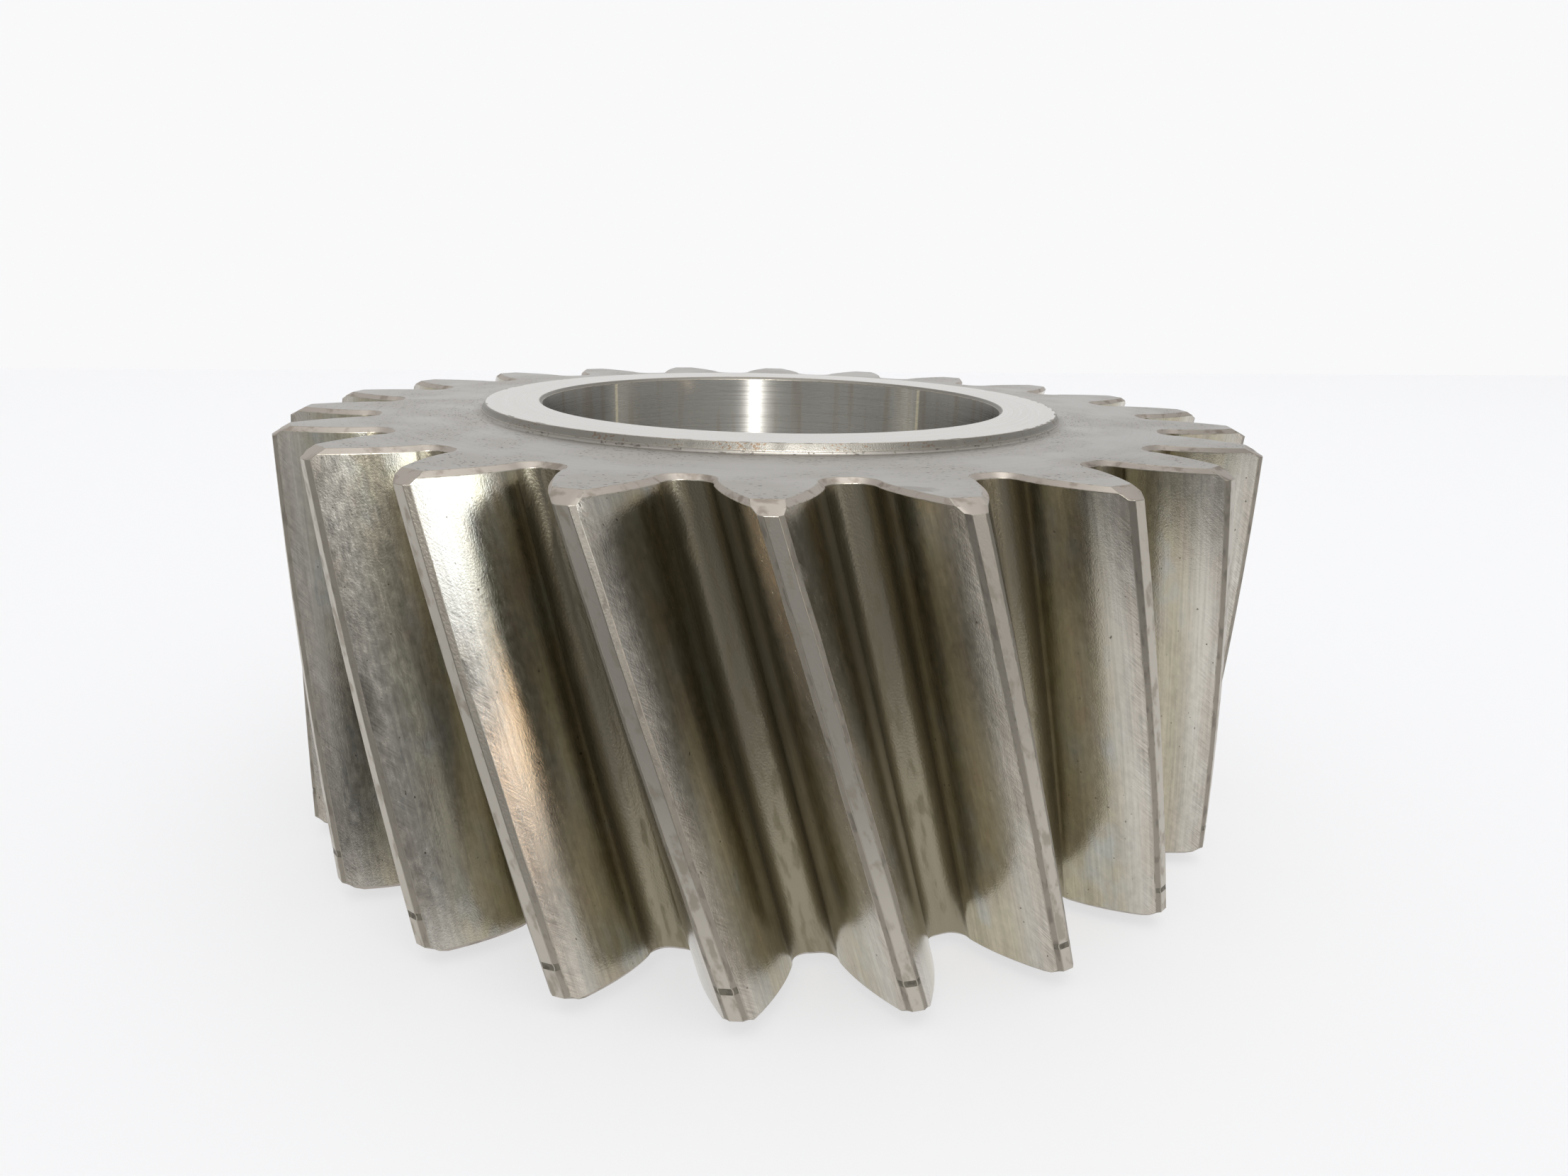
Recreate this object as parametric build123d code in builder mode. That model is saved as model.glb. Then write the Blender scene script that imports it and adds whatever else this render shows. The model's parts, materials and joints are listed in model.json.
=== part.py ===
import os
from math import atan, cos, degrees, hypot, pi, radians, sin, sqrt, tan

from build123d import *

# Helical gear wheel, turned and toothed from one piece of steel. It lies flat: the axis is Z and the
# origin is on the axis, in the plane of the lower hub face. Sizes are millimetres and degrees.

# Toothing, measured square to the teeth
normal_module = 5.0
tooth_count = 22
pressure_angle = 20.0
helix_angle = 15.5  # left hand: seen from the side, a tooth leans to the left as it rises
shift_factor = 0.4  # outward shift of the profile, in modules
addendum_factor = 1.185  # tooth above the shifted pitch line, in modules
dedendum_factor = 1.215  # tooth below it, in modules
fillet_factor = 0.4  # rounding between the root floor and a flank, in modules
undercut_angle = 2.0  # how far the fillet leans in under the flank, which leaves a fine ridge

# Facets along both edges of each crest
facet_depth = 0.45
facet_angle = 50.0  # from the radius

# Body
face_width = 53.5  # length of the teeth along the axis
end_chamfer = 0.55  # all round the outline of the toothing, on both end faces
rim_bevel_width = 2.1  # turned bevel at both ends of the outside diameter, along the radius
rim_bevel_height = 1.1  # the same bevel along the axis
bore_diameter = 64.0
bore_chamfer = 0.4
hub_wall = 8.0  # ring of each hub face, from the bore to its edge
hub_edge_width = 0.5  # bevel round a hub face, along the radius
hub_edge_height = 0.8  # the same bevel along the axis
hub_step = 0.4  # plain wall left between that bevel and the end face of the toothing

# Shallow mark groove turned round the outside, near the lower end
mark_height = 4.5  # above the lower end of the teeth
mark_width = 0.75
mark_depth = 0.25

# Working values for the cutter of one tooth space
outside_clearance = 0.4  # how far the cutter reaches past the outside and past each end
flank_arcs = 2  # arcs that follow the involute of each flank

# Toothing, worked out in the plane square to the axis
pitch_radius = normal_module * tooth_count / (2 * cos(radians(helix_angle)))
tip_radius = pitch_radius + (shift_factor + addendum_factor) * normal_module
root_radius = pitch_radius + (shift_factor - dedendum_factor) * normal_module
root_fillet = fillet_factor * normal_module
end_pressure_angle = atan(tan(radians(pressure_angle)) / cos(radians(helix_angle)))
base_radius = pitch_radius * cos(end_pressure_angle)
tooth_thickness = (pi / 2 + 2 * shift_factor * tan(radians(pressure_angle))) * (
    normal_module / cos(radians(helix_angle))
)
lead = 2 * pi * pitch_radius / tan(radians(helix_angle))
half_pitch = pi / tooth_count

# Half the angle of a tooth space where its flanks would reach the base circle
space_at_base = (
    half_pitch - tooth_thickness / (2 * pitch_radius) - tan(end_pressure_angle) + end_pressure_angle
)

bore_radius = bore_diameter / 2
hub_radius = bore_radius + hub_wall
teeth_bottom = hub_edge_height + hub_step
teeth_top = teeth_bottom + face_width
mid_height = teeth_bottom + face_width / 2


def point_at(radius, angle):
    return (radius * cos(angle), radius * sin(angle))


def flank_roll(radius):
    """Roll angle at which the involute has come out to this radius."""
    return sqrt((radius / base_radius) ** 2 - 1)


def draw_space(growth):
    """Outline of one tooth space about the X axis, its walls moved outwards by the growth."""
    fillet_radius = root_fillet + growth
    floor_radius = root_radius - growth
    centre_radius = root_radius + root_fillet
    undercut = radians(undercut_angle)
    rise = centre_radius + fillet_radius * sin(undercut)
    reach = fillet_radius * cos(undercut)
    flank_start = hypot(rise, reach)
    flank_end = tip_radius - facet_depth
    first_roll = flank_roll(flank_start)
    last_roll = flank_roll(flank_end)
    opening = space_at_base + growth / base_radius
    facet_run = (facet_depth + outside_clearance) / cos(radians(facet_angle))

    roll_step = (last_roll - first_roll) / (2 * flank_arcs)
    rolls = [first_roll + i * roll_step for i in range(2 * flank_arcs + 1)]
    flank = [point_at(base_radius * hypot(1, roll), opening + roll - atan(roll)) for roll in rolls]
    floor_angle = opening + first_roll - atan(first_roll) - atan(reach / rise)
    rim_angle = opening + last_roll - atan(last_roll)
    facet_turn = rim_angle + radians(facet_angle)
    rim_x, rim_y = point_at(flank_end, rim_angle)
    mouth = (rim_x + facet_run * cos(facet_turn), rim_y + facet_run * sin(facet_turn))

    for side in (1, -1):
        centre_x, centre_y = point_at(centre_radius, floor_angle)
        CenterArc(
            (centre_x, side * centre_y),
            fillet_radius,
            start_angle=180 + side * degrees(floor_angle),
            arc_size=-side * (90 + undercut_angle),
        )
        side_flank = [(x, side * y) for x, y in flank]
        for i in range(0, 2 * flank_arcs, 2):
            ThreePointArc(*side_flank[i : i + 3])
        Line((rim_x, side * rim_y), (mouth[0], side * mouth[1]))
    floor_x, floor_y = point_at(floor_radius, floor_angle)
    ThreePointArc((floor_x, -floor_y), (floor_radius, 0), (floor_x, floor_y))
    ThreePointArc((mouth[0], -mouth[1]), (hypot(*mouth), 0), mouth)


def turned_plane(height):
    """Level plane at this height, turned to where the helix has brought the space."""
    return Plane.XY.offset(height).rotated((0, 0, -360 * (height - mid_height) / lead))


# The cutter of one tooth space: a twisted run in two halves, and a flare at each end that leaves the
# end chamfer
run_bottom = teeth_bottom + end_chamfer
run_top = teeth_top - end_chamfer
flare = end_chamfer + outside_clearance
lower_flare = [(teeth_bottom - outside_clearance, flare), (run_bottom, 0)]
upper_flare = [(run_top, 0), (teeth_top + outside_clearance, flare)]

with BuildPart() as tooth_space:
    for start, end in ((run_bottom, mid_height), (mid_height, run_top)):
        with BuildLine(mode=Mode.PRIVATE) as axis_run:
            Line((0, 0, start), (0, 0, end))
        with BuildLine(mode=Mode.PRIVATE) as screw_line:
            Helix(lead, end - start, 1, center=(0, 0, start), lefthand=True)
        with BuildSketch(turned_plane(start)):
            with BuildLine():
                draw_space(0)
            make_face()
        sweep(path=axis_run.line, binormal=screw_line.edge())
    for stretch in (lower_flare, upper_flare):
        for height, growth in stretch:
            with BuildSketch(turned_plane(height)):
                with BuildLine():
                    draw_space(growth)
                make_face()
        loft()

with BuildPart() as gear_wheel:
    # Turned body: the lower half of its section, then the same again above
    with BuildSketch(Plane.XZ):
        with BuildLine():
            Polyline(
                (bore_radius, mid_height),
                (bore_radius, bore_chamfer),
                (bore_radius + bore_chamfer, 0),
                (hub_radius - hub_edge_width, 0),
                (hub_radius, hub_edge_height),
                (hub_radius, teeth_bottom),
                (tip_radius - rim_bevel_width, teeth_bottom),
                (tip_radius, teeth_bottom + rim_bevel_height),
                (tip_radius, mid_height),
                close=True,
            )
        make_face()
    revolve(axis=Axis.Z)
    mirror(about=Plane.XY.offset(mid_height))

    # Mark groove
    with BuildSketch(Plane.XZ):
        with Locations((tip_radius, teeth_bottom + mark_height)):
            Rectangle(2 * mark_depth, mark_width)
    revolve(axis=Axis.Z, mode=Mode.SUBTRACT)

    # Toothing
    with PolarLocations(0, tooth_count, start_angle=degrees(half_pitch)):
        add(tooth_space.part, mode=Mode.SUBTRACT)

gear_wheel.part.label = "gear_wheel"

os.makedirs("parts", exist_ok=True)
export_step(gear_wheel.part, "parts/gear_wheel.step")
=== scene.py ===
import bmesh
import bpy
import json
from math import atan, cos, hypot, pi, radians, sin, sqrt, tan
from mathutils import Matrix, Vector, noise


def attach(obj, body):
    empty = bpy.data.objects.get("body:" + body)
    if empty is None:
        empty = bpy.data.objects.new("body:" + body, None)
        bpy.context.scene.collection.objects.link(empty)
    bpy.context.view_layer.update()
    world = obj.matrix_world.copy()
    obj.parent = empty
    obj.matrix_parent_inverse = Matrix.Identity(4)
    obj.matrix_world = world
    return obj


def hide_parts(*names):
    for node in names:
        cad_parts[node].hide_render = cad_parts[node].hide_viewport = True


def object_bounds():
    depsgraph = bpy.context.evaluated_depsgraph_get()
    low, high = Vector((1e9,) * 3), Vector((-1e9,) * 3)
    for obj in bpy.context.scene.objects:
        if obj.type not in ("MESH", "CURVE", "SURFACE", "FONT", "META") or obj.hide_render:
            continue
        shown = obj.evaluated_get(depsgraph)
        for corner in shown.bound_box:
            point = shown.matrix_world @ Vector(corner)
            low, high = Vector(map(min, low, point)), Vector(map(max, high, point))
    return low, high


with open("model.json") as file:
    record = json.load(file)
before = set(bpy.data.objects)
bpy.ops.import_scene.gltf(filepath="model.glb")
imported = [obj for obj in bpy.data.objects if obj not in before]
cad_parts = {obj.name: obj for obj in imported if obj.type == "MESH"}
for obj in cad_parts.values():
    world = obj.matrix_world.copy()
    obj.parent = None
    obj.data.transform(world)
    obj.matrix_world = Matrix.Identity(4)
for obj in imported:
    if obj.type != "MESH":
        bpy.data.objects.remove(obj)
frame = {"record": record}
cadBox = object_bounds()
print("frame loaded")

scene = bpy.context.scene
mm = 0.001


# sRGB hex to the linear colour that Blender works in
def linearColor(hexText):
    channels = [int(hexText[i : i + 2], 16) / 255 for i in (1, 3, 5)]
    return [c / 12.92 if c <= 0.04045 else ((c + 0.055) / 1.055) ** 2.4 for c in channels] + [1]


# Adds a node with its settings, and with its inputs either set or linked to a socket or node
def addNode(tree, kind, settings=None, inputs=None):
    node = tree.nodes.new(kind)
    for name, value in (settings or {}).items():
        setattr(node, name, value)
    for socket, value in (inputs or {}).items():
        if isinstance(value, bpy.types.Node):
            value = value.outputs[0]
        if isinstance(value, bpy.types.NodeSocket):
            tree.links.new(value, node.inputs[socket])
        else:
            node.inputs[socket].default_value = value
    return node


# Settings and inputs that many nodes share. A Map Range node takes one range to another, and a Mix
# node for colours has them in its sockets 6 and 7.
smoothly = {"interpolation_type": "SMOOTHSTEP"}
multiplied = {"operation": "MULTIPLY"}
added = {"operation": "ADD"}
ofColors = {"data_type": "RGBA"}


def ranged(value, numbers):
    return {"Value": value, **dict(zip(("From Min", "From Max", "To Min", "To Max"), numbers))}


def mixed(share, color, layer):
    return {0: share, 6: color, 7: layer}


# Camera, where the photograph was taken from
cameraValues = {
    "place": (0.00254, -0.15448, 0.07397),
    "turn": 0.041,  # degrees to the left of straight along +Y
    "lookDown": 16.62,
    "roll": 1.457,
    "lens": 24.625,
    "sensorWidth": 36.0,
    "nearest": 0.01,
}


def addCamera():
    camera = bpy.data.objects.new("camera", bpy.data.cameras.new("camera"))
    scene.collection.objects.link(camera)
    camera.matrix_world = (
        Matrix.Translation(cameraValues["place"])
        @ Matrix.Rotation(radians(cameraValues["turn"]), 4, "Z")
        @ Matrix.Rotation(radians(90 - cameraValues["lookDown"]), 4, "X")
        @ Matrix.Rotation(radians(cameraValues["roll"]), 4, "Z")
    )
    camera.data.sensor_fit = "HORIZONTAL"
    camera.data.sensor_width = cameraValues["sensorWidth"]
    camera.data.lens = cameraValues["lens"]
    camera.data.clip_start = cameraValues["nearest"]
    scene.camera = camera


# Floor, backdrop and light, with lengths in metres. A brightness of 1 shows as white.
studio = {
    "floorSize": 4.0,
    "backdropDistance": 0.652,  # from the gear's axis to the foot of the backdrop
    "backdropTurn": 12.7,  # degrees, so that its foot is as level in the picture as in the photograph
    "backdropHeight": 1.6,
    "floorColor": "#f8f8f9",
    "floorRoughness": 0.6,
    "floorGlowColor": "#f9f9fa",
    "floorGlow": 0.65,  # share of even white in the picture of the floor, which thins its shadows
    "floorGleam": 1.25,  # how much brighter that white is in the reflections
    "backdropColor": "#f9f9fa",
    "backdropRoughness": 0.9,
    "skyColor": "#f9fafc",
    "overheadLevel": 0.9,
    "sideLevel": 0.72,
    "seenLevel": 1.0,  # behind the gear in the picture
    "frontLevel": 0.5,  # the darker room behind the camera
    "frontReach": (-0.93, -0.3),  # how far a direction points forwards where that room gives way
    "overheadReach": (0.12, 0.7),  # how far it points upwards where the overhead light takes over
    "lightsAimAt": (0, 0, 0.03),
    "softboxPower": 4.4,
    "softboxSize": 1.2,
    "softboxPlace": (0.1, -0.1, 1.3),
    "windowColor": "#eef7ff",
    "windowPower": 1.95,  # soft light from the front right that gleams on the left-hand flanks
    "windowPlace": (0.584, -0.632, 0.395),
    "windowSize": (0.46, 0.32),
    "warmPower": 0.085,
    "warmPlace": (0.477, -0.397, 0.056),
    "warmSize": (0.04, 0.06),
    "warmColor": "#ffdcb8",
    "stripPower": 88.0,  # narrow light that draws the upright streak in the bore
    "stripPlace": (0.498, -2.418, 2.1),
    "stripSize": (0.13, 1.1),
    "stripColor": "#ffffff",
}

# Cards that only show in reflections: the shaded table in front, the dark camera over it and the body
# that holds it, a dark curtain beside the window, and a pale card that keeps the window out of the
# bore, darker on its inner side. Lengths are metres, and turn and tilt are degrees.
frontCards = {
    "shadedTable": {
        "size": (0.46, 1.6),
        "place": (0, -0.895, 0.0003),
        "turn": 0,
        "tilt": 0,
        "level": 0.33,
    },
    "cameraShade": {
        "size": (0.056, 0.07),
        "place": (-0.007, -0.165, 0.055),
        "turn": 0,
        "tilt": 90,
        "level": 0.27,
    },
    "cameraBody": {
        "size": (0.047, 0.088),
        "place": (-0.0565, -0.165, 0.046),
        "turn": 0,
        "tilt": 90,
        "level": 0.1,
    },
    "darkCurtain": {
        "size": (0.22, 0.3),
        "place": (0.298, -0.77, 0.15),
        "turn": 25,
        "tilt": 90,
        "level": 0.15,
    },
    "boreShadeIn": {
        "size": (0.075, 0.056),
        "place": (0.0665, -0.059, 0.094),
        "turn": 51,
        "tilt": 90,
        "level": 0.55,
        "blocksLight": True,
    },
    "boreShadeOut": {
        "size": (0.075, 0.056),
        "place": (0.0668, -0.0592, 0.094),
        "turn": 51,
        "tilt": 90,
        "level": 0.95,
        "blocksLight": True,
    },
}


def addFloor():
    size = studio["floorSize"]
    turn = radians(studio["backdropTurn"])
    centre = Vector((sin(turn), -cos(turn), 0)) * size / 2 + Vector((0, studio["backdropDistance"], 0))
    bpy.ops.mesh.primitive_plane_add(size=size, location=centre, rotation=(0, 0, turn))
    floor = bpy.context.object
    floor.name = "floor"
    bpy.ops.object.mode_set(mode="EDIT")
    bpy.ops.mesh.select_all(action="DESELECT")
    mesh = bmesh.from_edit_mesh(floor.data)
    for edge in mesh.edges:
        if all(v.co.y > size / 2 - mm for v in edge.verts):
            edge.select = True
    bmesh.update_edit_mesh(floor.data)
    rise = (0, 0, studio["backdropHeight"])
    bpy.ops.mesh.extrude_edges_move(TRANSFORM_OT_translate={"value": rise})
    bpy.ops.object.mode_set(mode="OBJECT")
    bpy.ops.object.transform_apply(location=True, rotation=True)
    floor.data.materials.append(makeWhiteTable())
    floor.data.materials.append(makeBackdropPaper())
    for face in floor.data.polygons:
        face.material_index = 0 if abs(face.normal.z) > 0.5 else 1


# White laminate table top: matt, and it carries the gear's shadow
def makeWhiteTable():
    material, tree, shader, ray, seen = startPaleMaterial(
        "white_table", studio["floorColor"], studio["floorRoughness"]
    )
    share = addNode(tree, "ShaderNodeMath", multiplied, {0: seen, 1: studio["floorGlow"]})
    gleam = (0, 1, 1, studio["floorGleam"])
    level = addNode(tree, "ShaderNodeMapRange", {}, ranged(ray.outputs["Is Glossy Ray"], gleam))
    glowTo(tree, shader, share, studio["floorGlowColor"], level)
    return material


# Pale backdrop paper: even in the picture and in the reflections, whatever light falls on it
def makeBackdropPaper():
    material, tree, shader, ray, seen = startPaleMaterial(
        "backdrop_paper", studio["backdropColor"], studio["backdropRoughness"]
    )
    glowTo(tree, shader, seen, studio["backdropColor"])
    return material


# Starts a pale material, with the ray that meets it and whether it is seen by the camera or in steel
def startPaleMaterial(name, color, roughness):
    material = bpy.data.materials.new(name)
    material.use_nodes = True
    tree = material.node_tree
    shader = tree.nodes["Principled BSDF"]
    shader.inputs["Base Color"].default_value = linearColor(color)
    shader.inputs["Roughness"].default_value = roughness
    ray = addNode(tree, "ShaderNodeLightPath")
    seen = addNode(
        tree,
        "ShaderNodeMath",
        {"operation": "MAXIMUM"},
        {0: ray.outputs["Is Camera Ray"], 1: ray.outputs["Is Glossy Ray"]},
    )
    return material, tree, shader, ray, seen


# Mixes an even glow of this colour into the shader
def glowTo(tree, shader, share, color, level=1):
    even = addNode(tree, "ShaderNodeEmission", {}, {"Color": linearColor(color), "Strength": level})
    glowing = addNode(tree, "ShaderNodeMixShader", {}, {0: share, 1: shader, 2: even})
    tree.links.new(glowing.outputs[0], tree.nodes["Material Output"].inputs["Surface"])


def addFrontCards():
    for name, card in frontCards.items():
        bpy.ops.mesh.primitive_plane_add(
            size=1, location=card["place"], rotation=(radians(card["tilt"]), 0, radians(card["turn"]))
        )
        plane = bpy.context.object
        plane.name = name
        plane.scale = (*card["size"], 1)
        bpy.ops.object.transform_apply(location=True, rotation=True, scale=True)
        plane.visible_camera = False
        plane.visible_diffuse = False
        plane.visible_transmission = False
        plane.visible_shadow = card.get("blocksLight", False)
        material = bpy.data.materials.new(name)
        material.use_nodes = True
        tree = material.node_tree
        tree.nodes.clear()
        glow = addNode(tree, "ShaderNodeEmission", {}, {"Strength": card["level"]})
        addNode(tree, "ShaderNodeOutputMaterial", {}, {"Surface": glow})
        plane.data.materials.append(material)


def addAreaLight(name, place, target, size, power, color="#ffffff"):
    data = bpy.data.lights.new(name, "AREA")
    data.shape = "RECTANGLE"
    data.size, data.size_y = size
    data.energy = power
    data.color = linearColor(color)[:3]
    light = bpy.data.objects.new(name, data)
    light.location = place
    light.rotation_mode = "QUATERNION"
    light.rotation_quaternion = (Vector(target) - Vector(place)).to_track_quat("-Z", "Y")
    light.visible_camera = False
    scene.collection.objects.link(light)
    return light


# The room: brightest overhead, darker at the sides, darkest low down behind the camera
def addWorld():
    world = bpy.data.worlds.new("studio")
    scene.world = world
    world.use_nodes = True
    tree = world.node_tree
    tree.nodes.clear()
    direction = addNode(tree, "ShaderNodeTexCoord").outputs["Generated"]
    toward = addNode(tree, "ShaderNodeSeparateXYZ", {}, {0: direction})
    forwards = (*studio["frontReach"], studio["frontLevel"], studio["sideLevel"])
    low = addNode(tree, "ShaderNodeMapRange", smoothly, ranged(toward.outputs["Y"], forwards))
    upwards = (*studio["overheadReach"], low.outputs[0], studio["overheadLevel"])
    level = addNode(tree, "ShaderNodeMapRange", smoothly, ranged(toward.outputs["Z"], upwards))
    ray = addNode(tree, "ShaderNodeLightPath")
    seen = addNode(
        tree, "ShaderNodeMix", {}, {0: ray.outputs["Is Camera Ray"], 2: level, 3: studio["seenLevel"]}
    )
    light = addNode(
        tree, "ShaderNodeBackground", {}, {"Color": linearColor(studio["skyColor"]), "Strength": seen}
    )
    addNode(tree, "ShaderNodeOutputWorld", {}, {"Surface": light})


def addStudio():
    addFloor()
    addFrontCards()
    addWorld()
    aim = studio["lightsAimAt"]
    square = (studio["softboxSize"], studio["softboxSize"])
    addAreaLight("softbox", studio["softboxPlace"], aim, square, studio["softboxPower"])
    for name in ("window", "warm", "strip"):
        place, size, power, color = (studio[name + end] for end in ("Place", "Size", "Power", "Color"))
        light = addAreaLight(name, place, aim, size, power, color)
        light.visible_diffuse = False  # they gleam on the steel and leave the table evenly lit
    scene.view_settings.view_transform = "Standard"


# Toothing, in millimetres and degrees, as the part is cut; some sizes are in modules
toothing = {
    "toothCount": 22,
    "normalModule": 5.0,
    "pressureAngle": 20.0,
    "helixAngle": 15.5,
    "profileShift": 0.4,
    "addendum": 1.185,
    "dedendum": 1.215,
    "rootFillet": 0.4,
    "undercutAngle": 2.0,
    "facetDepth": 0.45,
    "facetAngle": 50.0,
    "endChamfer": 0.55,
    "rimBevel": (2.1, 1.1),  # along the radius and along the axis
    "markHeight": 4.5,
    "markWidth": 0.75,
    "markDepth": 0.05,  # nearly full of dried oil, so shallower than it was cut
    "markWall": 0.25,
    "floorPoints": 2,
    "filletPoints": 8,
    "flankPoints": 10,
    "facetPoints": 2,
    "landPoints": 2,
    "levelStep": 1.35,
    "wobble": 0.1,  # how unevenly the facets were ground, in millimetres
    "wobbleLength": 6.0,
    "wobbleSpread": (3.7, 5.3),  # steps from tooth to tooth and side to side, so no two are alike
}

module = toothing["normalModule"]
helix = radians(toothing["helixAngle"])
overallHeight = cadBox[1].z / mm
pitchRadius = module * toothing["toothCount"] / (2 * cos(helix))
tipRadius = pitchRadius + (toothing["profileShift"] + toothing["addendum"]) * module
rootRadius = pitchRadius + (toothing["profileShift"] - toothing["dedendum"]) * module
endPressureAngle = atan(tan(radians(toothing["pressureAngle"])) / cos(helix))
baseRadius = pitchRadius * cos(endPressureAngle)
toothThickness = (pi / 2 + 2 * toothing["profileShift"] * tan(radians(toothing["pressureAngle"]))) * (
    module / cos(helix)
)
lead = 2 * pi * pitchRadius / tan(helix)
pitchAngle = 2 * pi / toothing["toothCount"]
spaceAtBase = (
    pitchAngle / 2 - toothThickness / (2 * pitchRadius) - tan(endPressureAngle) + endPressureAngle
)

# Turned body, in millimetres
boreMount = next(mount for mount in frame["record"]["mounts"] if mount["name"] == "bore")
body = {
    "boreChamfer": 0.4,
    "hubWall": 8.0,
    "hubEdgeWidth": 0.5,
    "hubEdgeHeight": 0.8,
    "hubStep": 0.4,
    "hubCove": 0.36,  # rounding at the foot of each hub
    "coveSteps": 7,
    "ringRadius": 50.0,  # where the turned body meets the mesh of the toothing
    "stepsRound": 528,
    "nickLength": 1.3,
    "nickDepth": 0.3,
    "nickReach": 0.25,  # how far a nick reaches in over the hub face
    "nickSparseness": 0.3,
    "edgeRounding": 0.06,
    "roundingSteps": 2,
    "bevelledFrom": 14.0,  # degrees between two faces
    "mergeDistance": 0.001,
}
near = 0.01  # places closer than this, in millimetres, count as the same
boreRadius = boreMount["dims"]["r_mm"]
hubRadius = boreRadius + body["hubWall"]
teethBottom = body["hubEdgeHeight"] + body["hubStep"]
teethTop = overallHeight - teethBottom
midHeight = overallHeight / 2

# Point numbers along half a tooth space where one stretch ends and the next starts
floorEnd = toothing["floorPoints"]
filletEnd = floorEnd + toothing["filletPoints"]
flankEnd = filletEnd + toothing["flankPoints"]
facetEnd = flankEnd + toothing["facetPoints"]
halfPoints = facetEnd + toothing["landPoints"]


# Radius and angle of the points from the middle of a space to the middle of a tooth. The growth
# moves the walls of the space outwards, and nothing reaches past the outside radius.
def halfSpace(growth, outside):
    fillet = toothing["rootFillet"] * module + growth
    centreRadius = rootRadius + toothing["rootFillet"] * module
    undercut = radians(toothing["undercutAngle"])
    facetAngle = radians(toothing["facetAngle"])
    rise = centreRadius + fillet * sin(undercut)
    reach = fillet * cos(undercut)
    rimRadius = min(tipRadius - toothing["facetDepth"], outside)
    firstRoll, lastRoll = (sqrt((r / baseRadius) ** 2 - 1) for r in (hypot(rise, reach), rimRadius))
    opening = spaceAtBase + growth / baseRadius
    centreAngle = opening + firstRoll - atan(firstRoll) - atan(reach / rise)
    rimAngle = opening + lastRoll - atan(lastRoll)

    points = [(rootRadius - growth, centreAngle * i / floorEnd) for i in range(floorEnd)]
    for i in range(toothing["filletPoints"]):
        swing = (pi / 2 + undercut) * i / toothing["filletPoints"]
        along, across = centreRadius - fillet * cos(swing), fillet * sin(swing)
        points.append((hypot(along, across), centreAngle + atan(across / along)))
    for i in range(toothing["flankPoints"]):
        roll = firstRoll + (lastRoll - firstRoll) * i / toothing["flankPoints"]
        points.append((baseRadius * hypot(1, roll), opening + roll - atan(roll)))
    facetRun = sqrt(outside**2 - (rimRadius * sin(facetAngle)) ** 2) - rimRadius * cos(facetAngle)
    for i in range(toothing["facetPoints"]):
        run = facetRun * i / toothing["facetPoints"]
        along, across = rimRadius + run * cos(facetAngle), run * sin(facetAngle)
        points.append((hypot(along, across), rimAngle + atan(across / along)))
    along, across = rimRadius + facetRun * cos(facetAngle), facetRun * sin(facetAngle)
    landAngle = rimAngle + atan(across / along)
    for i in range(toothing["landPoints"] + 1):
        share = i / toothing["landPoints"]
        points.append((outside, landAngle + (pitchAngle / 2 - landAngle) * share))
    if outside < tipRadius - toothing["facetDepth"]:
        spread = len(points) - 1 - flankEnd
        for i in range(flankEnd, len(points)):
            share = (i - flankEnd) / spread
            points[i] = (outside, rimAngle + (pitchAngle / 2 - rimAngle) * share)
    return points


# Moves the selected loop onto the outline of the toothing at this height
def placeLoop(mesh, height, growth, outside):
    numbers = mesh.verts.layers.int["pointNumber"]
    half = halfSpace(growth, outside)
    turn = -2 * pi * (height - midHeight) / lead
    for vertex in mesh.verts:
        if vertex.select:
            tooth, step = divmod(vertex[numbers], 2 * halfPoints)
            number = abs(step - halfPoints)
            radius, angle = half[number]
            side = 1 if step > halfPoints else -1
            if flankEnd <= number <= facetEnd and growth == 0:
                toothStep, sideStep = toothing["wobbleSpread"]
                along = Vector((tooth * toothStep, side * sideStep, height / toothing["wobbleLength"]))
                share = 1 if number == flankEnd else 0.5  # so a facet gets wider and narrower
                angle += share * toothing["wobble"] * noise.noise(along) / radius
            whole = (tooth + 0.5) * pitchAngle + side * angle + turn
            vertex.co = Vector((radius * cos(whole), radius * sin(whole), height)) * mm


# Height, growth and outside radius of each loop, from the lower end up
def toothingLevels():
    chamfer = toothing["endChamfer"]
    bevelWidth, bevelHeight = toothing["rimBevel"]
    atChamfer = tipRadius - bevelWidth * (1 - chamfer / bevelHeight)
    endLevels = [
        (0, chamfer, tipRadius - bevelWidth),
        (chamfer, 0, atChamfer),
        (bevelHeight, 0, tipRadius),
    ]
    markBottom = toothing["markHeight"] - toothing["markWidth"] / 2
    markTop = markBottom + toothing["markWidth"]
    wall = toothing["markWall"]
    markFloor = tipRadius - toothing["markDepth"]
    levels = [(teethBottom + rise, growth, outside) for rise, growth, outside in endLevels]
    levels.append((teethBottom + (bevelHeight + markBottom) / 2, 0, tipRadius))
    for rise, outside in (
        (markBottom, tipRadius),
        (markBottom + wall, markFloor),
        (markTop - wall, markFloor),
        (markTop, tipRadius),
    ):
        levels.append((teethBottom + rise, 0, outside))
    plainStart = teethBottom + markTop
    plainEnd = teethTop - bevelHeight
    steps = round((plainEnd - plainStart) / toothing["levelStep"])
    for i in range(1, steps):
        levels.append((plainStart + (plainEnd - plainStart) * i / steps, 0, tipRadius))
    for rise, growth, outside in reversed(endLevels):
        levels.append((teethTop - rise, growth, outside))
    return levels


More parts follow.
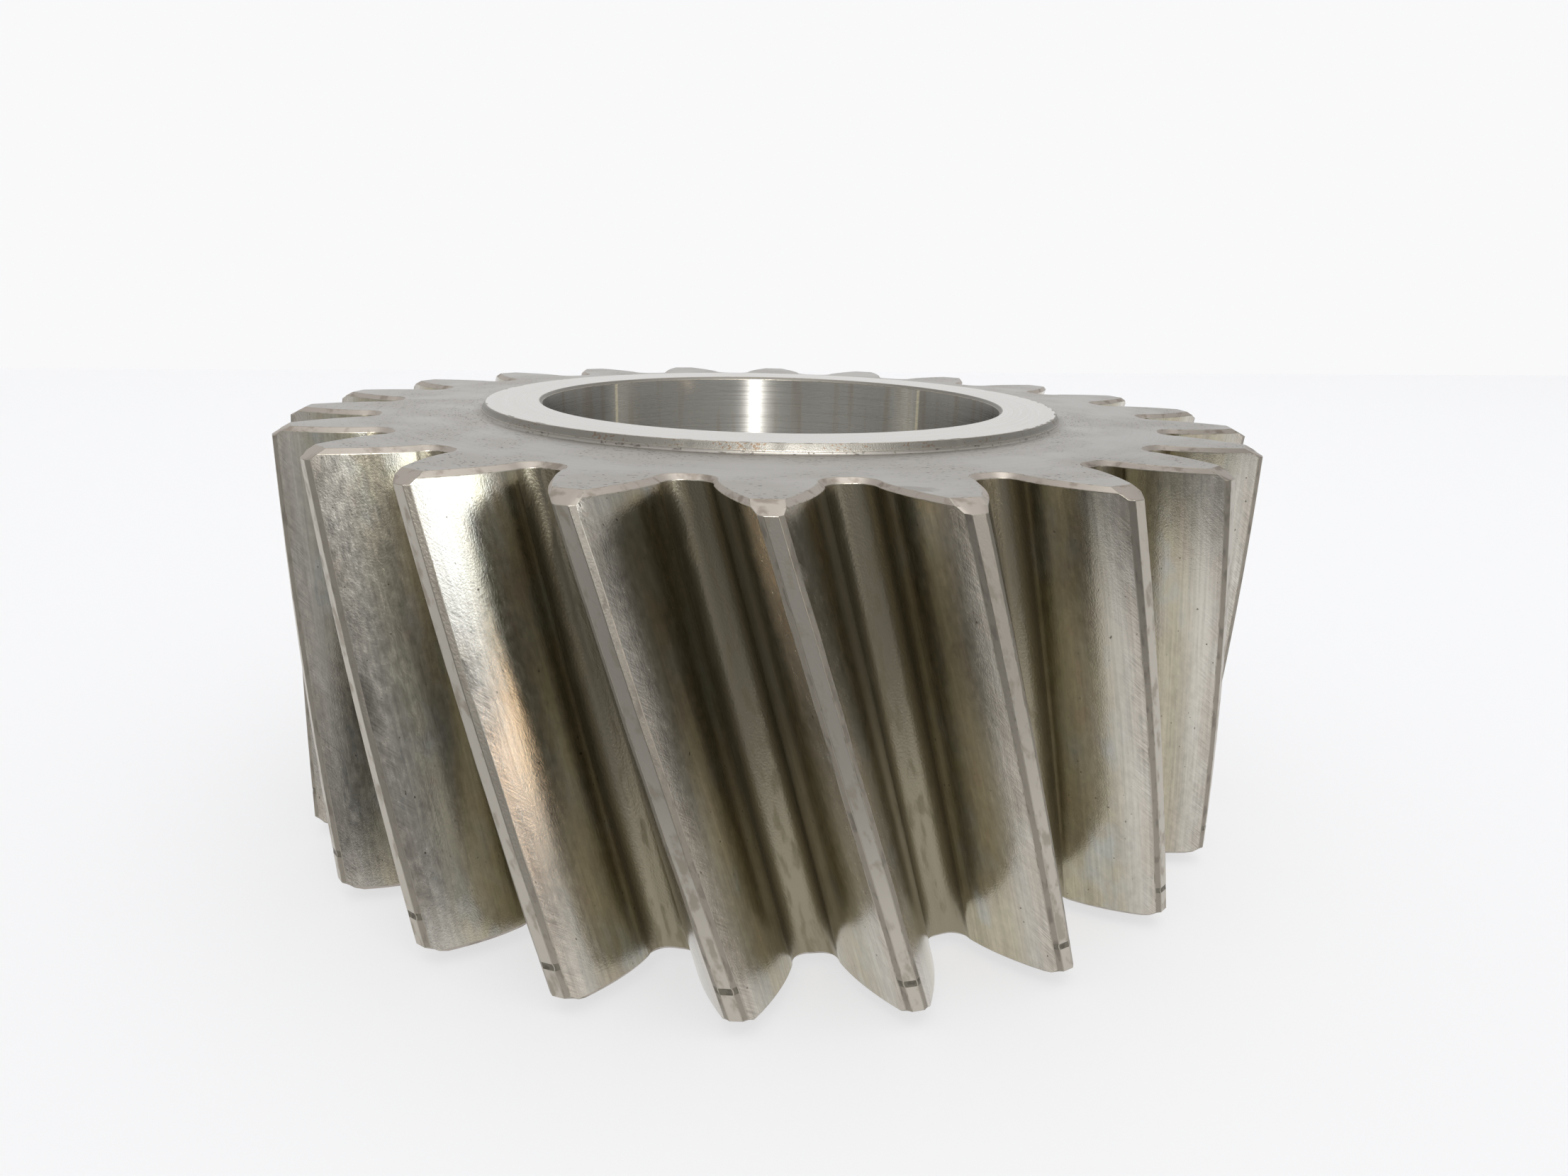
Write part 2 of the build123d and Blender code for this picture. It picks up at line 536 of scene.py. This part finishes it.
def addToothing():
    count = 2 * halfPoints * toothing["toothCount"]
    bpy.ops.mesh.primitive_circle_add(vertices=count, radius=tipRadius * mm, fill_type="NOTHING")
    shell = bpy.context.object
    shell.name = "steel_gear_wheel"
    numbers = shell.data.attributes.new("pointNumber", "INT", "POINT")
    numbers.data.foreach_set("value", range(count))
    bpy.ops.object.mode_set(mode="EDIT")
    bpy.ops.mesh.select_all(action="SELECT")
    levels = toothingLevels()
    placeLoop(bmesh.from_edit_mesh(shell.data), *levels[0])
    for i in range(1, len(levels)):
        rise = (levels[i][0] - levels[i - 1][0]) * mm
        bpy.ops.mesh.extrude_edges_move(TRANSFORM_OT_translate={"value": (0, 0, rise)})
        placeLoop(bmesh.from_edit_mesh(shell.data), *levels[i])
    bmesh.update_edit_mesh(shell.data)
    bpy.ops.object.mode_set(mode="OBJECT")
    return shell


# Half section of the turned body, from the upper end face in, down the bore and out again
def bodySection():
    chamfer = body["boreChamfer"]
    cove = body["hubCove"]
    turns = [pi / 2 * i / body["coveSteps"] for i in range(body["coveSteps"] + 1)]
    upper = [
        (body["ringRadius"], teethTop),
        *[(hubRadius + cove * (1 - sin(turn)), teethTop + cove * (1 - cos(turn))) for turn in turns],
        (hubRadius, overallHeight - body["hubEdgeHeight"]),
        (hubRadius - body["hubEdgeWidth"], overallHeight),
        (hubRadius - body["hubEdgeWidth"] - body["nickReach"], overallHeight),
        (boreRadius + chamfer, overallHeight),
        (boreRadius, overallHeight - chamfer),
    ]
    return upper + [(radius, overallHeight - height) for radius, height in reversed(upper)]


def addTurnedBody():
    section = bodySection()
    bpy.ops.mesh.primitive_plane_add(size=mm, location=(section[0][0] * mm, 0, section[0][1] * mm))
    turned = bpy.context.object
    bpy.ops.object.transform_apply(location=True)
    bpy.ops.object.mode_set(mode="EDIT")
    bpy.ops.mesh.merge(type="CENTER")
    for (fromRadius, fromHeight), (toRadius, toHeight) in zip(section, section[1:]):
        move = ((toRadius - fromRadius) * mm, 0, (toHeight - fromHeight) * mm)
        bpy.ops.mesh.extrude_vertices_move(TRANSFORM_OT_translate={"value": move})
    bpy.ops.mesh.select_all(action="SELECT")
    bpy.ops.mesh.spin(
        steps=body["stepsRound"], angle=2 * pi, use_auto_merge=True, center=(0, 0, 0), axis=(0, 0, 1)
    )
    bpy.ops.object.mode_set(mode="OBJECT")
    return turned


# Closes the flat ring between the open loops of the toothing and of the turned body
def fillEndFace(shell, height):
    bpy.ops.mesh.select_all(action="DESELECT")
    mesh = bmesh.from_edit_mesh(shell.data)
    for edge in mesh.edges:
        if edge.is_boundary and all(abs(v.co.z - height * mm) < near * mm for v in edge.verts):
            edge.select = True
    bmesh.update_edit_mesh(shell.data)
    bpy.ops.mesh.fill(use_beauty=True)


finishNames = [
    "flank",
    "root",
    "crest",
    "facet",
    "chamfer",
    "mark",
    "endFace",
    "hubFace",
    "hubBevel",
    "bore",
    "rubbedEdge",
]


# Small dents round the edge of the upper hub face
def nickHubEdge(gear):
    edgeRadius = hubRadius - body["hubEdgeWidth"]
    for vertex in gear.data.vertices:
        place = vertex.co / mm
        if abs(hypot(place.x, place.y) - edgeRadius) < near and abs(place.z - overallHeight) < near:
            size = max(0, noise.noise(place / body["nickLength"]) - body["nickSparseness"])
            vertex.co.z -= size * body["nickDepth"] * mm
            vertex.co.xy *= 1 - size * body["nickDepth"] / edgeRadius


# The finish of a face, from how far it is from the nearer end and from its place on the outline
def finishOf(heights, radii, points):
    rise = min(max(heights), overallHeight - min(heights)) - near
    if max(radii) < body["ringRadius"] + near:
        if max(radii) < boreRadius + near:
            return "bore"
        if rise < 0:
            return "hubFace"
        return "hubBevel" if rise < body["hubEdgeHeight"] else "endFace"
    if rise < teethBottom:
        return "endFace"
    if rise < teethBottom + toothing["endChamfer"]:
        return "chamfer"
    if max(points) <= filletEnd:
        return "root"
    if max(points) <= flankEnd:
        return "flank"
    if rise < teethBottom + toothing["rimBevel"][1]:
        return "chamfer"
    aboveMark = [height - teethBottom - toothing["markHeight"] for height in heights]
    if max(abs(above) for above in aboveMark) < toothing["markWidth"] / 2 + near:
        return "mark"
    return "facet" if max(points) <= facetEnd else "crest"


def assignFinishes(gear):
    numbers = gear.data.attributes["pointNumber"].data
    vertices = gear.data.vertices
    for face in gear.data.polygons:
        places = [vertices[i].co / mm for i in face.vertices]
        heights = [place.z for place in places]
        radii = [hypot(place.x, place.y) for place in places]
        points = [abs(numbers[i].value % (2 * halfPoints) - halfPoints) for i in face.vertices]
        face.material_index = finishNames.index(finishOf(heights, radii, points))


def makeGear():
    bpy.ops.object.select_all(action="DESELECT")
    turned = addTurnedBody()
    bpy.ops.object.select_all(action="DESELECT")
    gear = addToothing()
    turned.select_set(True)
    gear.select_set(True)
    bpy.context.view_layer.objects.active = gear
    bpy.ops.object.join()
    bpy.ops.object.mode_set(mode="EDIT")
    bpy.ops.mesh.select_mode(type="VERT")
    fillEndFace(gear, teethTop)
    fillEndFace(gear, teethBottom)
    bpy.ops.mesh.select_all(action="SELECT")
    bpy.ops.mesh.remove_doubles(threshold=body["mergeDistance"] * mm)
    bpy.ops.mesh.normals_make_consistent(inside=False)
    bpy.ops.object.mode_set(mode="OBJECT")
    nickHubEdge(gear)
    addFinishes(gear)
    assignFinishes(gear)
    print("gear meshed:", len(gear.data.polygons), "faces")

    bpy.ops.object.shade_smooth_by_angle(angle=radians(body["bevelledFrom"]))
    rounding = gear.modifiers.new("rounding", "BEVEL")
    rounding.width = body["edgeRounding"] * mm
    rounding.segments = body["roundingSteps"]
    rounding.limit_method = "ANGLE"
    rounding.angle_limit = radians(body["bevelledFrom"])
    rounding.use_clamp_overlap = False
    rounding.harden_normals = True
    rounding.material = finishNames.index("rubbedEdge")
    bpy.ops.object.modifier_apply(modifier=rounding.name)
    for vertex in gear.data.vertices:  # a nick may swell above the face
        vertex.co.z = min(max(vertex.co.z, 0), overallHeight * mm)
    triangles = sum(len(polygon.vertices) - 2 for polygon in gear.data.polygons)
    print("gear finished:", triangles, "triangles")
    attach(gear, "root")
    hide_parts("gear_wheel")
    return gear


# Place on the gear in metres: round it at the pitch line, out from the axis, and up. With the twist
# taken out, a tooth stands straight and a pattern drawn upwards follows it.
def unrolled(tree, twisted=True):
    place = addNode(tree, "ShaderNodeTexCoord").outputs["Object"]
    height = addNode(tree, "ShaderNodeSeparateXYZ", {}, {0: place}).outputs["Z"]
    if twisted:
        turn = addNode(
            tree,
            "ShaderNodeMath",
            {"operation": "MULTIPLY_ADD"},
            {0: height, 1: 2 * pi / (lead * mm), 2: -2 * pi * midHeight / lead},
        )
        place = addNode(
            tree,
            "ShaderNodeVectorRotate",
            {"rotation_type": "Z_AXIS"},
            {"Vector": place, "Angle": turn},
        )
    part = addNode(tree, "ShaderNodeSeparateXYZ", {}, {0: place})
    angle = addNode(
        tree, "ShaderNodeMath", {"operation": "ARCTAN2"}, {0: part.outputs["Y"], 1: part.outputs["X"]}
    )
    around = addNode(tree, "ShaderNodeMath", multiplied, {0: angle, 1: pitchRadius * mm})
    level = addNode(tree, "ShaderNodeVectorMath", multiplied, {0: place, 1: (1, 1, 0)})
    length = addNode(tree, "ShaderNodeVectorMath", {"operation": "LENGTH"}, {0: level})
    radius = length.outputs["Value"]
    return addNode(tree, "ShaderNodeCombineXYZ", {}, {0: around, 1: radius, 2: height}), radius


# A steel finish starts with its shader: bare metal, so only colour and roughness set its look
def startSteel(name):
    material = bpy.data.materials.new(name)
    material.use_nodes = True
    tree = material.node_tree
    shader = tree.nodes["Principled BSDF"]
    shader.inputs["Metallic"].default_value = 1
    return material, tree, shader


def inMetres(*sizes):
    return [size * mm for size in sizes]


# One noise for each pattern of a finish, drawn at its own size in millimetres and perhaps aslant
def addPatterns(tree, place, finish):
    patterns = {}
    for name, detail in finish["detail"].items():
        aslant = radians(finish.get(name + "Turn", 0))
        sizes = addNode(
            tree,
            "ShaderNodeMapping",
            {"vector_type": "TEXTURE"},
            {"Vector": place, "Rotation": (0, aslant, 0), "Scale": inMetres(*finish[name + "Size"])},
        )
        patterns[name] = addNode(
            tree,
            "ShaderNodeTexNoise",
            {},
            {"Vector": sizes, "Scale": 1, "Detail": detail, "Roughness": finish.get("crispness", 0.5)},
        )
    return patterns


# Raises the surface by this height in millimetres where the pattern is full
def addRelief(tree, shader, pattern, height):
    bump = addNode(tree, "ShaderNodeBump", {}, {"Height": pattern, "Distance": height * mm})
    tree.links.new(bump.outputs[0], shader.inputs["Normal"])


# Tooth flanks: case-hardened steel, ground and then polished by running. Almost a mirror, browned by
# a thin film of old oil that thickens towards the root, and scuffed aslant near the crest. A range
# says which strengths of the pattern count, and what they become.
flankFinish = {
    "steel": "#b7b3aa",
    "film": "#a8a28f",
    "thickFilm": "#9d9781",
    "blueFilm": "#a2a6a6",
    "brownFilm": "#a39686",
    "speck": "#4d463c",
    "filmEdge": (60.0, 63.8),  # where the film wears off towards the crest, in millimetres of radius
    "thickEdge": (55.0, 59.5),
    "brownEdge": (62.4, 64.3),  # scuffs and baked oil beside the crest
    "detail": {
        "band": 3,
        "line": 2,
        "mottle": 5,
        "blue": 2,
        "brown": 3,
        "speck": 0,
        "grain": 2,
        "scuff": 1,
    },
    "crispness": 0.65,
    "bandSize": (2.6, 2.0, 45.0),  # streaks that follow the teeth
    "lineSize": (0.3, 0.3, 14.0),  # real grinding marks are about 0.02 mm apart, too fine to show
    "mottleSize": (0.8, 0.7, 1.4),
    "blueSize": (5.0, 4.0, 9.0),
    "brownSize": (4.0, 3.0, 6.0),
    "speckSize": (0.4, 0.35, 0.45),
    "grainSize": (0.17, 0.17, 0.24),
    "scuffSize": (0.1, 4.0, 2.8),
    "scuffTurn": -27.0,
    "blueRange": (0.5, 0.7, 0, 0.6),
    "brownRange": (0.48, 0.7, 0, 0.6),
    "edgeBrownShare": 0.4,
    "edgeBrownRange": (0.3, 0.6),
    "speckRange": (0.83, 0.87, 0, 0.8),
    "scuffRange": (0.36, 0.64, 0.1, -0.24),  # from lighter to darker than the steel round it
    "scuffAtCrest": 0.8,  # strength that scuffs gain at the crest
    "scuffElsewhere": 0.2,
    "scuffPatches": (0.4, 0.62, 0.25, 1),
    "toneRange": (1.15, 1.85, 0.8, 1.14),  # band, line and mottle together
    "polished": 0.19,
    "worn": 0.25,
    "uneven": (0, 1, -0.1, 0.1),  # what the mottle adds to the roughness
    "reliefHeight": 0.012,
}


def makeFlankSteel():
    finish = flankFinish
    material, tree, shader = startSteel("ground_flank_steel")
    place, radius = unrolled(tree)
    patterns = addPatterns(tree, place, finish)
    reached = {
        name: addNode(tree, "ShaderNodeMapRange", smoothly, ranged(radius, inMetres(*finish[name])))
        for name in ("filmEdge", "thickEdge", "brownEdge")
    }
    blue, brown = (
        addNode(tree, "ShaderNodeMapRange", {}, ranged(patterns[name], finish[name + "Range"]))
        for name in ("blue", "brown")
    )
    edgeBrown = addNode(
        tree, "ShaderNodeMath", multiplied, {0: reached["brownEdge"], 1: finish["edgeBrownShare"]}
    )
    browned = addNode(
        tree, "ShaderNodeMapRange", {}, ranged(patterns["blue"], finish["edgeBrownRange"])
    )
    edgeBrown = addNode(tree, "ShaderNodeMath", multiplied, {0: edgeBrown, 1: browned})
    color = linearColor(finish["thickFilm"])
    for share, layer in (
        (reached["thickEdge"], "film"),
        (blue, "blueFilm"),
        (brown, "brownFilm"),
        (reached["filmEdge"], "steel"),
        (edgeBrown, "brownFilm"),
    ):
        color = addNode(
            tree, "ShaderNodeMix", ofColors, mixed(share, color, linearColor(finish[layer]))
        ).outputs[2]

    patchy = addNode(tree, "ShaderNodeMapRange", {}, ranged(patterns["brown"], finish["scuffPatches"]))
    nearCrest = addNode(
        tree,
        "ShaderNodeMath",
        {"operation": "MULTIPLY_ADD"},
        {0: reached["brownEdge"], 1: finish["scuffAtCrest"], 2: finish["scuffElsewhere"]},
    )
    scuffed = addNode(tree, "ShaderNodeMath", multiplied, {0: nearCrest, 1: patchy})
    hairs = addNode(tree, "ShaderNodeMapRange", {}, ranged(patterns["scuff"], finish["scuffRange"]))
    worn = addNode(tree, "ShaderNodeMath", multiplied, {0: hairs, 1: scuffed})
    both = addNode(tree, "ShaderNodeMath", added, {0: patterns["band"], 1: patterns["line"]})
    uneven = addNode(tree, "ShaderNodeMath", added, {0: both, 1: patterns["mottle"]})
    even = addNode(tree, "ShaderNodeMapRange", {}, ranged(uneven, finish["toneRange"]))
    tone = addNode(tree, "ShaderNodeMath", added, {0: even, 1: worn})
    toned = addNode(tree, "ShaderNodeVectorMath", {"operation": "SCALE"}, {0: color, "Scale": tone})
    specks = addNode(tree, "ShaderNodeMapRange", {}, ranged(patterns["speck"], finish["speckRange"]))
    speckled = addNode(
        tree, "ShaderNodeMix", ofColors, mixed(specks, toned, linearColor(finish["speck"]))
    ).outputs[2]
    tree.links.new(speckled, shader.inputs["Base Color"])

    wear = (0, 1, finish["polished"], finish["worn"])
    smooth = addNode(tree, "ShaderNodeMapRange", {}, ranged(reached["filmEdge"], wear))
    mottled = addNode(tree, "ShaderNodeMapRange", {}, ranged(patterns["mottle"], finish["uneven"]))
    rough = addNode(tree, "ShaderNodeMath", added, {0: smooth, 1: mottled})
    tree.links.new(rough.outputs[0], shader.inputs["Roughness"])
    addRelief(tree, shader, patterns["grain"], finish["reliefHeight"])
    return material


# Finishes that are one steel with blotches and grain, sizes in millimetres
plainFinishes = {
    # hobbed and shot-peened root: dark with oil, and its fine dimples sparkle
    "root": {
        "material": "peened_root_steel",
        "colors": ("#8b8472", "#7d7663"),
        "blotchSize": (1.2, 1.2, 4.0),
        "blotched": 0.45,
        "grainSize": (0.24, 0.24, 0.3),
        "grainHeight": 0.03,
        "roughness": 0.34,
    },
    # turned crest: satin, with small darker stains
    "crest": {
        "material": "turned_crest_steel",
        "colors": ("#aea89e", "#968f83"),
        "blotchSize": (1.2, 1.2, 2.6),
        "blotched": 0.45,
        "grainSize": (0.24, 0.24, 0.2),
        "grainHeight": 0.012,
        "roughness": 0.42,
    },
    # facets ground along the crest: coarser than the flanks, so they stay grey beside them
    "facet": {
        "material": "ground_facet_steel",
        "colors": ("#8a847a", "#79736a"),
        "blotchSize": (0.9, 0.9, 2.4),
        "blotched": 0.45,
        "grainSize": (0.2, 0.2, 0.26),
        "grainHeight": 0.025,
        "roughness": 0.46,
    },
    # chamfers and rim bevels, cut before hardening: dull, and still a little pink from the heat
    "chamfer": {
        "material": "hardened_chamfer_steel",
        "colors": ("#a39b92", "#8b8278"),
        "blotchSize": (1.8, 1.8, 1.8),
        "blotched": 0.4,
        "grainSize": (0.3, 0.3, 0.3),
        "grainHeight": 0.01,
        "roughness": 0.48,
    },
    # mark groove: left as turned, dark with dried oil
    "mark": {
        "material": "oiled_groove_steel",
        "colors": ("#6d685e", "#5d584f"),
        "blotchSize": (0.6, 0.6, 0.6),
        "blotched": 0.5,
        "grainSize": (0.3, 0.3, 0.3),
        "grainHeight": 0.01,
        "roughness": 0.5,
    },
    # edges rubbed bright by handling
    "rubbedEdge": {
        "material": "rubbed_edge_steel",
        "colors": ("#9c968b", "#807a6e"),
        "blotchSize": (0.6, 0.6, 1.2),
        "blotched": 0.4,
        "grainSize": (0.22, 0.22, 0.22),
        "grainHeight": 0.012,
        "roughness": 0.34,
    },
}
plainLook = {
    "detail": {"blotch": 3, "grain": 2},
    "blotchEdges": (0.72, 0.88),  # with no share blotched; half the share comes off both
    "blotchRoughness": 0.1,  # how much rougher a blotch is
}


def makePlainSteel(values):
    finish = {**plainLook, **values}
    material, tree, shader = startSteel(finish["material"])
    patterns = addPatterns(tree, unrolled(tree)[0], finish)
    edges = [edge - finish["blotched"] * 0.5 for edge in finish["blotchEdges"]]
    blotched = addNode(tree, "ShaderNodeMapRange", smoothly, ranged(patterns["blotch"], edges))
    mainColor, blotchColor = (linearColor(color) for color in finish["colors"])
    color = addNode(tree, "ShaderNodeMix", ofColors, mixed(blotched, mainColor, blotchColor))
    tree.links.new(color.outputs[2], shader.inputs["Base Color"])
    roughness = (0, 1, finish["roughness"], finish["roughness"] + finish["blotchRoughness"])
    rough = addNode(tree, "ShaderNodeMapRange", {}, ranged(blotched, roughness))
    tree.links.new(rough.outputs[0], shader.inputs["Roughness"])
    addRelief(tree, shader, patterns["grain"], finish["grainHeight"])
    return material


# End faces: turned and left dull by hardening, with fine rings, dark specks and short dark dashes
# round the foot of the hub, where oil dried, and painted shade in the rounding at that foot
endFaceFinish = {
    "steel": "#aaa7a2",
    "cloud": "#a29e98",
    "speck": "#4a443d",
    "ring": "#87827a",
    "detail": {"cloud": 4, "ring": 2, "speck": 0, "dash": 1, "grain": 2},
    "cloudSize": (14.0, 9.0, 9.0),
    "ringSize": (30.0, 0.25, 30.0),  # real turning lines are about 0.1 mm apart
    "speckSize": (0.5, 0.3, 0.5),
    "dashSize": (1.5, 0.22, 1.5),
    "grainSize": (0.3, 0.25, 0.3),
    "cloudRange": (0.35, 0.65),
    "speckRange": (0.71, 0.76, 0, 0.8),
    "speckPatches": (0.42, 0.58, 0.1, 1),  # the specks gather where it is cloudy
    "dashRange": (0.63, 0.71, 0, 0.7),
    "ringRange": (0.55, 0.8, 0, 0.4),
    "dashReach": (42.0, 46.5),  # where the dashes thin out, in millimetres of radius
    "footReach": (40.0, 41.4),  # painted shade: darker in the rounding at the foot of the hub
    "footShare": 0.7,
    "stains": ((13.5, -57.0, 3.1, 1.5), (8.6, -57.6, 2.0, 1.0)),  # place and half sizes of oval marks
    "stainRange": (0.95, 1.35, 0.75, 0),
    "raggedness": 0.5,
    "roughness": 0.42,
    "uneven": (-0.04, 0.05),
    "reliefHeight": 0.003,
}


def makeEndFaceSteel():
    finish = endFaceFinish
    ringColor = linearColor(finish["ring"])
    material, tree, shader = startSteel("turned_face_steel")
    place, radius = unrolled(tree, twisted=False)
    patterns = addPatterns(tree, place, finish)
    clouds = addNode(
        tree, "ShaderNodeMapRange", smoothly, ranged(patterns["cloud"], finish["cloudRange"])
    )
    specks, dashes, rings = (
        addNode(tree, "ShaderNodeMapRange", {}, ranged(patterns[name], finish[name + "Range"]))
        for name in ("speck", "dash", "ring")
    )
    thinning = (*inMetres(*finish["dashReach"]), 1, 0)
    nearHub = addNode(tree, "ShaderNodeMapRange", smoothly, ranged(radius, thinning))
    dashesNear = addNode(tree, "ShaderNodeMath", multiplied, {0: dashes, 1: nearHub})
    gathered = addNode(
        tree, "ShaderNodeMapRange", {}, ranged(patterns["cloud"], finish["speckPatches"])
    )
    speckled = addNode(tree, "ShaderNodeMath", multiplied, {0: specks, 1: gathered})
    dark = addNode(tree, "ShaderNodeMath", {"operation": "MAXIMUM"}, {0: speckled, 1: dashesNear})

    # painted shade: the end face darkens towards the rounding at the foot of the hub, in the colour of
    # the rings
    footShadeRange = (*inMetres(*finish["footReach"]), finish["footShare"], 0)
    footShade = addNode(tree, "ShaderNodeMapRange", smoothly, ranged(radius, footShadeRange))
    layers = [(clouds, linearColor(finish["cloud"])), (rings, ringColor), (footShade, ringColor)]
    flat = addNode(tree, "ShaderNodeTexCoord").outputs["Object"]
    for x, y, halfWidth, halfDepth in finish["stains"]:
        oval = addNode(
            tree,
            "ShaderNodeMapping",
            {"vector_type": "TEXTURE"},
            {
                "Vector": flat,
                "Location": inMetres(x, y, teethTop),
                "Scale": inMetres(halfWidth, halfDepth, 1),
            },
        )
        distance = addNode(tree, "ShaderNodeVectorMath", {"operation": "LENGTH"}, {0: oval})
        ragged = addNode(
            tree,
            "ShaderNodeMath",
            {"operation": "MULTIPLY_ADD"},
            {0: patterns["speck"], 1: finish["raggedness"], 2: distance.outputs["Value"]},
        )
        stained = addNode(tree, "ShaderNodeMapRange", smoothly, ranged(ragged, finish["stainRange"]))
        layers.append((stained, ringColor))
    layers.append((dark, linearColor(finish["speck"])))
    color = linearColor(finish["steel"])
    for share, layer in layers:
        color = addNode(tree, "ShaderNodeMix", ofColors, mixed(share, color, layer)).outputs[2]
    tree.links.new(color, shader.inputs["Base Color"])

    roughness = (0, 1, *(finish["roughness"] + step for step in finish["uneven"]))
    rough = addNode(tree, "ShaderNodeMapRange", {}, ranged(clouds, roughness))
    tree.links.new(rough.outputs[0], shader.inputs["Roughness"])
    relief = addNode(tree, "ShaderNodeMath", added, {0: patterns["ring"], 1: patterns["grain"]})
    addRelief(tree, shader, relief, finish["reliefHeight"])
    return material


# Hub faces and their bevels: ground after hardening, so lighter and cleaner than the end faces
hubFinish = {
    "stain": "#6d5947",
    "detail": {"line": 2, "speck": 1, "patch": 2, "grain": 2},
    "lineSize": (25.0, 0.2, 25.0),
    "speckSize": (0.6, 0.3, 0.3),
    "patchSize": (6.0, 6.0, 6.0),
    "grainSize": (0.2, 0.2, 0.2),
    "edgeBand": (39.25, 39.5),  # where a brown line follows the outer edge, in millimetres of radius
    "dirtRange": (0.4, 0.65, 0.1, 0.28),
    "stainRange": (0.8, 0.86, 0, 0.75),
    "lineRange": (0.3, 0.7),
    "uneven": (-0.04, 0.06),  # what the lines add to the roughness
}
# The face is finely ground, and its bevel is coarser and darker
hubSurfaces = {
    "face": {"steel": "#cfcdc8", "roughness": 0.3, "relief": 0.001, "reliefPattern": "line"},
    "bevel": {"steel": "#7b7871", "roughness": 0.44, "relief": 0.02, "reliefPattern": "grain"},
}


def makeHubSteel(name, surface):
    finish = {**hubFinish, **hubSurfaces[surface]}
    material, tree, shader = startSteel(name)
    place, radius = unrolled(tree, twisted=False)
    patterns = addPatterns(tree, place, finish)
    edgeBand = inMetres(*finish["edgeBand"])
    atEdge = addNode(tree, "ShaderNodeMapRange", smoothly, ranged(radius, edgeBand))
    dirty = addNode(tree, "ShaderNodeMapRange", {}, ranged(patterns["patch"], finish["dirtRange"]))
    dirtyEdge = addNode(tree, "ShaderNodeMath", multiplied, {0: dirty, 1: atEdge})
    spotted = addNode(tree, "ShaderNodeMath", added, {0: patterns["speck"], 1: dirtyEdge})
    stained = addNode(tree, "ShaderNodeMapRange", {}, ranged(spotted, finish["stainRange"]))
    steel, stain = linearColor(finish["steel"]), linearColor(finish["stain"])
    color = addNode(tree, "ShaderNodeMix", ofColors, mixed(stained, steel, stain))
    tree.links.new(color.outputs[2], shader.inputs["Base Color"])
    roughness = (*finish["lineRange"], *(finish["roughness"] + step for step in finish["uneven"]))
    rough = addNode(tree, "ShaderNodeMapRange", {}, ranged(patterns["line"], roughness))
    tree.links.new(rough.outputs[0], shader.inputs["Roughness"])
    addRelief(tree, shader, patterns[finish["reliefPattern"]], finish["relief"])
    return material


# Bore: ground round and round, so a light draws an upright streak in it, slightly stained, and with
# two fainter pale streaks painted into its colour as painted reflections
boreFinish = {
    "steel": "#b7b5af",
    "stain": "#a59a8b",
    # colour of the painted reflections in the bore
    "trace": "#f0e8cf",
    "detail": {"stain": 3, "line": 3},
    "stainSize": (3.5, 30.0, 40.0),
    "lineSize": (40.0, 30.0, 0.16),  # real honing lines are finer than 0.05 mm
    "stainRange": (0.5, 0.75, 0, 0.7),
    "traces": (142.3, 43.0),  # painted reflections: pale upright streaks, in degrees round the bore
    "traceWidth": 0.4,
    "traceCore": 0.4,  # share of the width that has the full strength
    "traceShare": 0.8,
    "roughness": 0.28,
    "lineRange": (0.3, 0.7),
    "uneven": (-0.03, 0.04),
    "anisotropy": 1.0,
    "anisotropyTurn": 0.25,  # turns, which lays the grinding lines round the bore
    "reliefHeight": 0.0008,
}


def makeBoreSteel():
    finish = boreFinish
    material, tree, shader = startSteel("ground_bore_steel")
    place = unrolled(tree, twisted=False)[0]
    around = addNode(tree, "ShaderNodeSeparateXYZ", {}, {0: place}).outputs["X"]
    patterns = addPatterns(tree, place, finish)
    stained = addNode(
        tree, "ShaderNodeMapRange", smoothly, ranged(patterns["stain"], finish["stainRange"])
    )
    steel, stain = linearColor(finish["steel"]), linearColor(finish["stain"])
    color = addNode(tree, "ShaderNodeMix", ofColors, mixed(stained, steel, stain)).outputs[2]
    # painted reflections: two pale upright streaks mixed into the bore's colour
    reach = finish["traceWidth"] * pitchRadius / boreRadius * mm
    fade = (reach * finish["traceCore"], reach, finish["traceShare"], 0)
    for angle in finish["traces"]:
        streakAround = radians(angle) * pitchRadius * mm
        aside = addNode(tree, "ShaderNodeMath", {"operation": "SUBTRACT"}, {0: around, 1: streakAround})
        distance = addNode(tree, "ShaderNodeMath", {"operation": "ABSOLUTE"}, {0: aside})
        streaked = addNode(tree, "ShaderNodeMapRange", smoothly, ranged(distance, fade))
        color = addNode(
            tree, "ShaderNodeMix", ofColors, mixed(streaked, color, linearColor(finish["trace"]))
        ).outputs[2]
    tree.links.new(color, shader.inputs["Base Color"])
    roughness = (*finish["lineRange"], *(finish["roughness"] + step for step in finish["uneven"]))
    rough = addNode(tree, "ShaderNodeMapRange", {}, ranged(patterns["line"], roughness))
    tree.links.new(rough.outputs[0], shader.inputs["Roughness"])
    shader.inputs["Anisotropic"].default_value = finish["anisotropy"]
    shader.inputs["Anisotropic Rotation"].default_value = finish["anisotropyTurn"]
    tangent = addNode(tree, "ShaderNodeTangent", {"direction_type": "RADIAL", "axis": "Z"})
    tree.links.new(tangent.outputs[0], shader.inputs["Tangent"])
    addRelief(tree, shader, patterns["line"], finish["reliefHeight"])
    return material


def addFinishes(gear):
    finishes = {name: makePlainSteel(values) for name, values in plainFinishes.items()}
    finishes["flank"] = makeFlankSteel()
    finishes["endFace"] = makeEndFaceSteel()
    finishes["hubFace"] = makeHubSteel("ground_hub_steel", "face")
    finishes["hubBevel"] = makeHubSteel("hub_bevel_steel", "bevel")
    finishes["bore"] = makeBoreSteel()
    for name in finishNames:
        gear.data.materials.append(finishes[name])


addCamera()
addStudio()
print("camera and studio set")
gear = makeGear()
print("steel finishes made")
